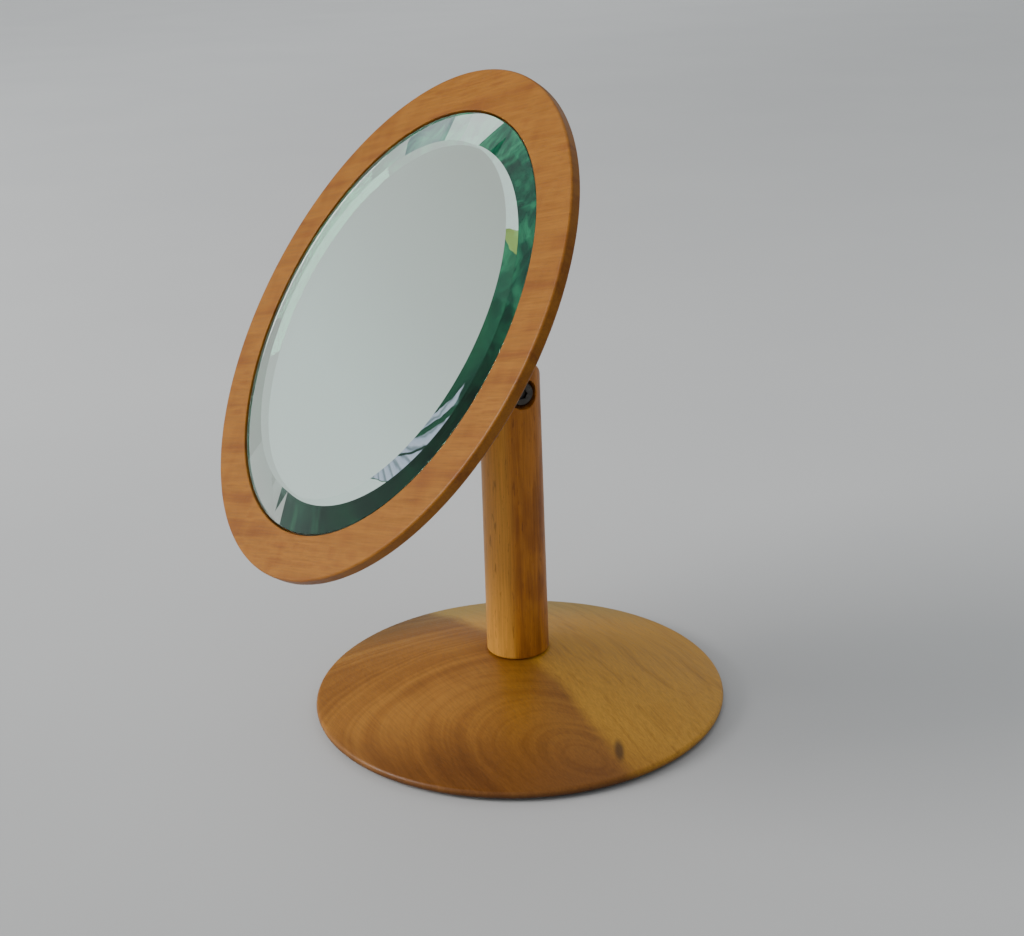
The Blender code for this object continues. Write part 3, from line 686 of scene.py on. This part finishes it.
def base_wood():
    """Heartwood with nested growth loops on one side, straight pale sapwood on the other.

    Painted shade deepens the wood towards one side and along the bottom of its rim; towards another
    side a painted cool sheen both deepens and blues it.
    """
    finish = Finish("base_fruitwood")
    at = finish.place()
    wander = finish.noise(finish.stretched(at, (0.012, 0.012, 0.012)), detail=3.0,
                          output="Color")
    shift = finish.add("ShaderNodeVectorMath", {0: wander, 1: (0.5, 0.5, 0.5)},
                       operation="SUBTRACT")
    bent = finish.add("ShaderNodeVectorMath", {0: shift, 1: (22 * MM, 22 * MM, 22 * MM), 2: at},
                      operation="MULTIPLY_ADD")
    fibre, pore = fine_grain(finish, at)

    heart = finish.add("ShaderNodeMapping", {0: bent, "Location": (-82 * MM, 14 * MM, 0.0)})
    ovals = finish.stretched(heart, (1.0, 1.65, 1.0), turn=143.0)
    ring_place = finish.add("ShaderNodeCombineXYZ",
                            {0: finish.reckon("MULTIPLY", finish.length(ovals), 0.105)})
    rings = finish.noise(ring_place, detail=5.0, roughness=0.62)
    broad = finish.noise(finish.stretched(bent, (0.014, 0.026, 0.02)), detail=3.0)
    loops = finish.blend(rings, broad, 0.38)
    heartwood = finish.ramp(loops, [(0.36, (0.190, 0.068, 0.007)), (0.47, (0.262, 0.102, 0.012)),
                                    (0.56, (0.330, 0.138, 0.018)), (0.66, (0.265, 0.102, 0.012))])
    straight = finish.noise(finish.stretched(bent, (0.008, 0.22, 0.22)), detail=4.0,
                            roughness=0.6)
    sapwood = finish.ramp(straight, [(0.32, (0.41, 0.190, 0.016)), (0.5, (0.54, 0.265, 0.026)),
                                     (0.68, (0.47, 0.220, 0.020))])
    share = finish.between(finish.part(bent, "Y"), -5 * MM, 5 * MM)
    colour = finish.mix(share, heartwood, sapwood)
    knot_at = finish.add("ShaderNodeMapping", {0: at, "Location": (-85 * MM, -4 * MM, 0.0)})
    knot_oval = finish.stretched(knot_at, (1 / 8.0, 1 / 2.6, 0.0), turn=29.0)
    knot = finish.between(finish.length(knot_oval), 0.35, 1.25, 1.0, 0.0)
    colour = finish.mix(finish.reckon("MULTIPLY", knot, 0.8), colour, (0.07, 0.030, 0.007))

    # Painted shade darkens the side at compass 54; a painted cool sheen tints the side at compass
    # -110.
    for compass, start, end, share, tone in (
            (54, 42 * MM, 94 * MM, 0.85, (0.45, 0.37, 0.42)),
            (-110, 35 * MM, 90 * MM, 0.8, (0.52, 0.74, 1.6))):
        out = finish.toward(at, direction(compass, 0))
        painted_shade_and_sheen = finish.reckon("MULTIPLY", finish.between(out, start, end), share)
        colour = finish.mix(painted_shade_and_sheen, colour, tone, "MULTIPLY")
    # Painted shade: darker along the bottom of the rim.
    rim = finish.between(finish.part(at, "Z"), BASE_LOW + 0.8 * MM, BASE_LOW + 3.4 * MM, 0.8, 0.0)
    colour = finish.mix(rim, colour, (0.42, 0.40, 0.45), "MULTIPLY")
    return oiled(finish, colour, fibre, pore)


def glass_finishes():
    """Clear greenish plate, the bright metal laid on its back, and its ground edge.

    A painted reflection glows faintly green from the bevel, streaked and brighter uphill, in place of
    the room it would mirror.
    """
    glass = Finish("clear_plate_glass")
    glass.surface(Base_Color=(1, 1, 1, 1), Transmission_Weight=1.0, Roughness=0.0, IOR=1.52,
                  Specular_Tint=(0.25, 0.70, 0.48, 1.0))
    at = glass.place(HEAD_AXES, PIVOT)
    flat_at = glass.add("ShaderNodeMapping", {0: at, "Scale": (1.0, 1.0, 0.0)})
    on_bevel = glass.between(glass.length(flat_at), GLASS_RADIUS - BEVEL_WIDTH - 0.3 * MM,
                             GLASS_RADIUS - BEVEL_WIDTH + 0.4 * MM)
    # Painted reflection: a streaked green glow on the bevel, brighter towards the top of the glass.
    streak = glass.noise(glass.stretched(at, (0.05, 0.05, 0.0)), detail=4.0, roughness=0.6,
                         distortion=1.5)
    painted_bevel_glow = glass.ramp(streak, [(0.38, (0.001, 0.007, 0.006)), (0.5, (0.003, 0.036, 0.020)),
                                (0.61, (0.014, 0.120, 0.056))])
    painted_glow_uphill = glass.between(glass.part(at, "Y"), -12 * MM, 58 * MM, 0.13, 1.25)
    painted_glow_strength = glass.reckon("MULTIPLY", on_bevel, painted_glow_uphill)
    glass.surface(Emission_Color=painted_bevel_glow, Emission_Strength=painted_glow_strength)
    tint = glass.nodes.new("ShaderNodeVolumeAbsorption")
    tint.inputs["Color"].default_value = (0.0, 0.85, 0.55, 1.0)
    tint.inputs["Density"].default_value = 14.0
    glass.links.new(tint.outputs[0], glass.nodes["Material Output"].inputs["Volume"])
    silver = Finish("silvered_back")
    silver.surface(Base_Color=(0.95, 0.96, 0.95, 1), Metallic=1.0, Roughness=0.0)
    ground = Finish("ground_glass_edge")
    at = ground.place(HEAD_AXES, PIVOT)
    grit = ground.noise(ground.stretched(at, (0.5, 0.5, 2.5)), detail=3.0, roughness=0.6)
    colour = ground.ramp(grit, [(0.3, (0.16, 0.23, 0.21)), (0.7, (0.34, 0.42, 0.40))])
    ground.surface(Base_Color=colour, Roughness=0.6)
    return glass, silver, ground


def steel_finish(name, colour, roughness):
    """Turned steel: fine rings of wear and a little unevenness in its shine."""
    finish = Finish(name)
    at = finish.place()
    wear = finish.noise(finish.stretched(at, (1.2, 0.5, 0.5)), detail=4.0, roughness=0.65)
    shade = finish.ramp(wear, [(0.35, tuple(0.8 * c for c in colour)), (0.65, colour)])
    rough = finish.between(wear, 0.3, 0.7, roughness + 0.10, roughness - 0.06)
    finish.surface(Base_Color=shade, Metallic=1.0, Roughness=rough,
                   Normal=finish.relief(wear, 0.01 * MM))
    return finish


def fibre_finish():
    """Dark pressed fibre, matt, with matted strands."""
    finish = Finish("pressed_fibre")
    at = finish.place()
    strands = finish.noise(finish.stretched(at, (1.5, 1.5, 1.5)), detail=4.0, roughness=0.7)
    colour = finish.ramp(strands, [(0.3, (0.035, 0.016, 0.010)), (0.7, (0.085, 0.038, 0.022))])
    finish.surface(Base_Color=colour, Roughness=0.7, Normal=finish.relief(strands, 0.05 * MM))
    return finish


def mastic_finish():
    """Pale mirror adhesive, matt and a little lumpy."""
    finish = Finish("mirror_mastic")
    at = finish.place()
    lumps = finish.noise(finish.stretched(at, (0.25, 0.25, 0.25)), detail=3.0)
    colour = finish.ramp(lumps, [(0.3, (0.50, 0.48, 0.42)), (0.7, (0.60, 0.58, 0.52))])
    finish.surface(Base_Color=colour, Roughness=0.75, Normal=finish.relief(lumps, 0.2 * MM))
    return finish


def backing_finish():
    """Grey protective paint on the back of the silver, sprayed a little unevenly."""
    finish = Finish("backing_paint")
    at = finish.place()
    spray = finish.noise(finish.stretched(at, (0.6, 0.6, 0.6)), detail=4.0, roughness=0.6)
    colour = finish.ramp(spray, [(0.3, (0.10, 0.11, 0.12)), (0.7, (0.14, 0.15, 0.16))])
    finish.surface(Base_Color=colour, Roughness=0.55, Normal=finish.relief(spray, 0.02 * MM))
    return finish


def baize_finish():
    """Green felt: matted wool fibres crossing at every angle, with a soft sheen."""
    finish = Finish("green_baize")
    at = finish.place()
    clumps = finish.noise(finish.stretched(at, (0.25, 0.25, 0.25)), detail=3.0)
    wool = finish.noise(finish.stretched(at, (2.2, 2.2, 2.2)), detail=4.0, roughness=0.7,
                        distortion=2.0)
    blend = finish.blend(clumps, wool, 0.6)
    colour = finish.ramp(blend, [(0.35, (0.008, 0.035, 0.018)), (0.65, (0.024, 0.085, 0.045))])
    finish.surface(Base_Color=colour, Roughness=0.95, Sheen_Weight=0.5, Sheen_Roughness=0.5,
                   Normal=finish.relief(wool, 0.15 * MM))
    return finish


# ---- the pieces, their finishes and what they ride on ----------------------------------------
ZINC = (0.34, 0.33, 0.31), 0.42                 # colour and roughness


def fit(piece, node, body):
    """Puts a piece in place of its CAD node, on its body."""
    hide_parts(node)
    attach(piece, body)


def build_stand():
    """Everything that stands still: base, felt, post and the bolt with what it clamps."""
    base, felt = make_base()
    base_wood().on(base)
    baize_finish().on(felt)
    fit(base, "base_disc", "stand")
    fit(felt, "base_felt", "stand")

    post = make_post()
    post_wood("post_fruitwood", STAND_AXES, TABLE).on(post)
    fit(post, "post", "stand")

    bolt, *clamped = make_bolt()
    steel_finish("blackened_steel", (0.085, 0.078, 0.070), 0.32).on(bolt)
    steel_finish("worn_bright_steel", (0.50, 0.48, 0.45), 0.30).on(*clamped)
    fit(bolt, "pivot_bolt", "stand")
    for piece, node in zip(clamped, ("head_washer", "nut_washer", "disc_spring", "pivot_nut")):
        fit(piece, node, "stand")

    down_axes = np.array([[1.0, 0.0, 0.0], [0.0, -1.0, 0.0], [0.0, 0.0, -1.0]])
    screw_head = np.array([0.0, 0.0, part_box("base_screw")[0].z])
    screw = make_wood_screw("base_wood_screw", 32 * MM, down_axes, screw_head)
    steel_finish("dull_zinc_steel", *ZINC).on(screw)
    fit(screw, "base_screw", "stand")


def build_head():
    """Everything that tips: frame, stem, glass, and what joins them."""
    wooden = make_frame()
    frame_wood().on(wooden)
    fit(wooden, "mirror_frame", "head")
    stem = make_stem()
    post_wood("stem_fruitwood", HEAD_AXES, PIVOT).on(stem)
    fit(stem, "head_stem", "head")

    glass, coat = make_glass()
    for finish in glass_finishes():
        finish.on(glass)
    silver_and_grind(glass)
    backing_finish().on(coat)
    fit(glass, "mirror_glass", "head")
    fit(coat, "mirror_silvering", "head")

    mastic = mastic_finish()
    for pad, node in make_pads():
        mastic.on(pad)
        fit(pad, node, "head")
    fibre = fibre_finish()
    for side, node in ((1, "friction_washer_right"), (-1, "friction_washer_left")):
        washer = make_friction_washer(side)
        fibre.on(washer)
        fit(washer, node, "head")
    screw_head = PIVOT + (RECESS_FLOOR - 0.5 * MM) * FACING
    screw = make_wood_screw("stem_wood_screw", 28 * MM, HEAD_AXES, screw_head)
    steel_finish("stem_zinc_steel", *ZINC).on(screw)
    fit(screw, "stem_screw", "head")


def silver_and_grind(glass):
    """Gives the glass's flat back its silver and its narrow side its ground finish."""
    mesh = glass.data
    normals = np.zeros(3 * len(mesh.polygons), np.float32)
    mesh.polygons.foreach_get("normal", normals)
    facing = normals.reshape(-1, 3) @ FACING
    clear, silvered, ground = 0, 1, 2
    squarely_back, sideways = -0.99, 0.3
    finish = np.full(len(facing), clear, np.int32)
    finish[facing < squarely_back] = silvered
    finish[np.abs(facing) < sideways] = ground
    mesh.polygons.foreach_set("material_index", finish)


# ---- floor, light and camera -----------------------------------------------------------------
def direction(azimuth, elevation):
    """Unit vector from the object: azimuth 0 is the side that the glass faces, 90 is +X."""
    a, e = math.radians(azimuth), math.radians(elevation)
    return np.array([math.sin(a) * math.cos(e), -math.cos(a) * math.cos(e), math.sin(e)])


def soft_light(name, azimuth, elevation, distance, size, watts, colour, aim=(0, 0, 0.15)):
    """A broad lamp in a direction from the object, turned to face it."""
    lamp = bpy.data.lights.new(name, "AREA")
    lamp.shape = "RECTANGLE"
    lamp.size, lamp.size_y = size
    lamp.energy = watts
    lamp.color = colour
    holder = bpy.data.objects.new(name, lamp)
    spot = Vector(direction(azimuth, elevation) * distance)
    holder.location = spot + Vector(aim)
    holder.rotation_euler = (-spot).to_track_quat("-Z", "Y").to_euler()
    bpy.context.scene.collection.objects.link(holder)
    return holder


def make_floor():
    """A wide pale disc, painted a little brighter far away and darker to one side as painted light
    and shade.
    """
    count, radius = 96, 14.0
    angle = TURN * np.arange(count) / count
    rim = np.stack([radius * np.cos(angle), radius * np.sin(angle), np.zeros(count)], -1)
    points = np.vstack([[0.0, 0.0, 0.0], rim])
    index = 1 + np.arange(count)
    faces = np.stack([np.zeros(count, int), index, np.roll(index, -1)], -1)
    floor = mesh_piece("pale_floor", points, np.zeros((0, 4), int), faces)
    finish = Finish("pale_floor_paint")
    at = finish.place()
    tone = finish.noise(finish.stretched(at, (0.004, 0.004, 0.004)), detail=3.0)
    colour = finish.ramp(tone, [(0.3, (0.54, 0.54, 0.545)), (0.7, (0.56, 0.56, 0.562))])
    # Painted light and shade: brighter far away, darker to one side.
    for compass, start, end, low, high in ((-61, 0.3, 2.4, 1.0, 1.42), (29, -0.35, 0.45, 1.04, 0.74)):
        shade = finish.between(finish.toward(at, direction(compass, 0)), start, end, low, high)
        colour = finish.mix(1.0, colour, finish.add("ShaderNodeCombineXYZ",
                                                    {0: shade, 1: shade, 2: shade}), "MULTIPLY")
    finish.surface(Base_Color=colour, Roughness=0.65)
    finish.on(floor)


GLASS_MIDDLE = PIVOT + 0.0762 * FACING
SCREEN_DISTANCE = 12.0


def screen(name, left, right, low, high, finish, distance):
    """Part of a ball round the mirror, between two azimuths and two elevations, facing it."""
    step = 1.5                                  # degrees between its points
    wide = max(2, round(abs(right - left) / step))
    tall = max(2, round(abs(high - low) / step))
    azimuth, elevation = np.meshgrid(np.radians(np.linspace(left, right, wide + 1)),
                                     np.radians(np.linspace(low, high, tall + 1)),
                                     indexing="ij")
    towards = np.stack([np.sin(azimuth) * np.cos(elevation),
                        -np.cos(azimuth) * np.cos(elevation), np.sin(elevation)], -1)
    points = (GLASS_MIDDLE + distance * towards).reshape(-1, 3)
    index = np.arange(len(points)).reshape(azimuth.shape)
    quads = np.stack([index[:-1, :-1], index[1:, :-1], index[1:, 1:], index[:-1, 1:]], -1)
    card = mesh_piece(name, points, quads.reshape(-1, 4), np.zeros((0, 3), int))
    finish.on(card)
    card.visible_camera = False
    card.visible_diffuse = False
    card.visible_shadow = False


def glow(name, value, stops):
    """A screen's own soft light: a colour for a value, taken from stops."""
    finish = Finish(name)
    colour = finish.ramp(value(finish), stops)
    finish.surface(Base_Color=(0, 0, 0, 1), Roughness=1.0, Emission_Color=colour,
                   Emission_Strength=1.0)
    return finish


def folds(finish):
    """Hanging folds: unevenness drawn out upwards."""
    at = finish.stretched(finish.place(), (0.0016, 0.0016, 0.0006))
    return finish.noise(at, detail=3.0, distortion=1.0)


def upward(finish):
    """Nought at the floor, one at the height of the room."""
    return finish.between(finish.part(finish.place(), "Z"), 0.0, 8.0)


def slats(finish):
    """Nought to one over and over, once for each slat of a blind."""
    level = finish.part(finish.place(), "Z")
    slats_per_metre = 26.0
    return finish.reckon("FRACT", finish.reckon("MULTIPLY", level, slats_per_metre))


def hang_screens():
    """What the mirror shows: a pale wall, green drapes and the slatted panes of a window."""
    drape = glow("green_drape", folds, [(0.36, (0.002, 0.011, 0.009)), (0.50, (0.006, 0.038, 0.024)),
                                        (0.64, (0.020, 0.105, 0.052))])
    dim = glow("dim_wall", folds, [(0.40, (0.15, 0.145, 0.13)), (0.60, (0.24, 0.23, 0.21))])
    wall = glow("pale_wall", upward, [(0.10, (0.92, 0.94, 0.94)), (0.30, (0.84, 0.86, 0.86)),
                                      (0.45, (0.70, 0.69, 0.69)), (0.62, (0.58, 0.56, 0.55))])
    pane = glow("window_pane", slats, [(0.12, (0.26, 0.28, 0.36)), (0.30, (0.56, 0.56, 0.76)),
                                       (0.80, (0.66, 0.64, 0.84)), (0.95, (0.34, 0.36, 0.44))])
    leaves = glow("leaves", folds, [(0.40, (0.10, 0.16, 0.02)), (0.60, (0.34, 0.42, 0.09))])
    shade = glow("grey_shade", folds, [(0.40, (0.26, 0.24, 0.30)), (0.60, (0.44, 0.42, 0.48))])
    edge, tied_edge, corner, wall_edge = -74.2, -75.3, -71.4, -69.3
    sill, sash, lintel, ledge, top = 7, 10.9, 19, 22.6, 32
    behind, before, beside = SCREEN_DISTANCE, SCREEN_DISTANCE - 0.2, 1.4
    for name, left, right, low, high, finish, distance in (
            ("side_drape", -90, edge, -3, sash, drape, behind),
            ("tied_drape", -90, tied_edge, sash, lintel, drape, behind),
            ("topmost_drape", -86, edge, lintel, 26, drape, behind),
            ("drape_foot", -86, -71, -7, 3, drape, beside),
            ("dim_corner", -135, -90, -3, 40, dim, behind),
            ("low_drape", edge, -64.5, -3, sill, drape, behind),
            ("high_drape", edge, wall_edge, ledge, top, drape, behind),
            ("upper_drape", edge, corner, lintel, ledge, drape, behind),
            ("near_wall", edge, corner, sill, sash, wall, behind),
            ("corner_wall", tied_edge, corner, sash, lintel, wall, behind),
            ("middle_wall", corner, wall_edge, sill, ledge, wall, behind),
            ("far_wall", wall_edge, -42, sill, top, wall, behind),
            ("first_pane", -75.7, -74.25, 8.7, 10.6, pane, before),
            ("second_pane", -76.55, -75.85, 8.3, 9.7, pane, before),
            ("third_pane", -77.35, -76.9, 8.0, 8.95, pane, before),
            ("green_leaves", -76.1, tied_edge, sash, 11.9, leaves, before),
            ("grey_corner", -57.0, -51.5, 11.5, 17.0, shade, before)):
        screen(name, left, right, low, high, finish, distance)


def light_the_room():
    """A pale room, brighter to the left of the view, and one large soft window light."""
    world = bpy.data.worlds.new("pale_room")
    world.use_nodes = True
    nodes, links = world.node_tree.nodes, world.node_tree.links
    at = nodes.new("ShaderNodeTexCoord")
    across = nodes.new("ShaderNodeVectorMath")
    across.operation = "DOT_PRODUCT"
    across.inputs[1].default_value = direction(-40, 15)
    ramp = nodes.new("ShaderNodeValToRGB")
    ramp.color_ramp.elements[0].position = 0.05
    ramp.color_ramp.elements[0].color = (0.36, 0.37, 0.40, 1)
    ramp.color_ramp.elements[1].position = 0.85
    ramp.color_ramp.elements[1].color = (0.86, 0.90, 0.90, 1)
    spread = nodes.new("ShaderNodeMapRange")
    spread.inputs[1].default_value = -1.0
    links.new(at.outputs["Generated"], across.inputs[0])
    links.new(across.outputs["Value"], spread.inputs[0])
    links.new(spread.outputs[0], ramp.inputs[0])
    links.new(ramp.outputs[0], nodes["Background"].inputs["Color"])
    nodes["Background"].inputs["Strength"].default_value = 1.0
    bpy.context.scene.world = world
    soft_light("window_light", azimuth=-18, elevation=27, distance=2.4, size=(1.2, 1.2),
               watts=60, colour=(1.0, 0.985, 0.96))


def set_camera():
    """A camera in a direction from the origin, pitched up past it and rolled a little."""
    azimuth, elevation, distance = 61.46, 28.08, 0.8199
    pitch, roll_angle = 7.877, 1.962
    camera = bpy.data.cameras.new("view")
    camera.lens = 57.62
    camera.sensor_width = 36.0
    holder = bpy.data.objects.new("view", camera)
    bpy.context.scene.collection.objects.link(holder)
    spot = Vector(direction(azimuth, elevation) * distance)
    look = -spot.normalized()
    right = look.cross(Vector((0, 0, 1))).normalized()
    look = Matrix.Rotation(math.radians(pitch), 3, right) @ look
    up = right.cross(look)
    roll = Matrix.Rotation(math.radians(roll_angle), 3, look)
    right, up = roll @ right, roll @ up
    turn = Matrix((right, up, -look)).transposed()
    holder.matrix_world = Matrix.Translation(spot) @ turn.to_4x4()
    bpy.context.scene.camera = holder


build_stand()
build_head()
make_floor()
hang_screens()
light_the_room()
set_camera()
